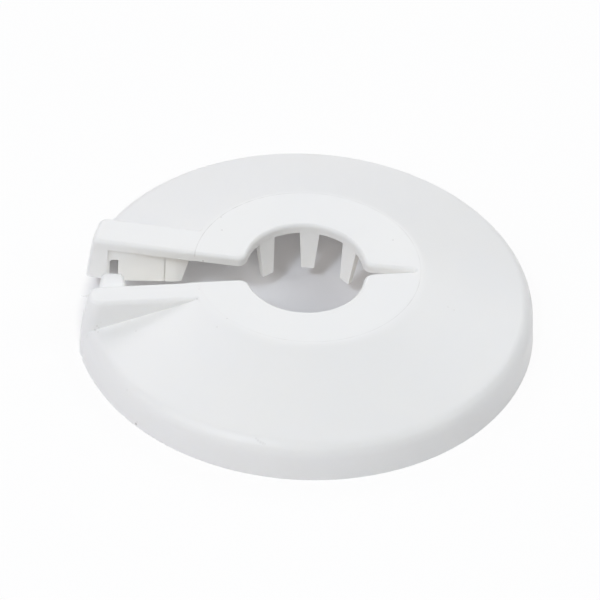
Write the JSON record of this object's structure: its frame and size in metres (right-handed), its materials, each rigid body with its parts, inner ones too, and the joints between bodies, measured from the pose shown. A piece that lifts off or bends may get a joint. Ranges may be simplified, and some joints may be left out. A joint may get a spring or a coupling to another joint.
{
  "type": "pipe escutcheon",
  "caption": "Round domed plastic pipe escutcheon in one piece, split by a slot so that it clips round a pipe, with spring prongs in the bore and a hook catch.",
  "frame": {"origin": "in the middle of the rim, in the plane of the rim's foot that lies against the wall or floor; the pipe's axis is 0.35 mm away", "axes": "+Z along the pipe, away from the wall; the slot opens towards -X; the catch is on the +Y half"},
  "size_m": [0.0742, 0.075, 0.0122],
  "materials": {
    "white_plastic": "satin moulded"
  },
  "bodies": {
    "root": {"escutcheon": "white_plastic"}
  },
  "joints": []
}
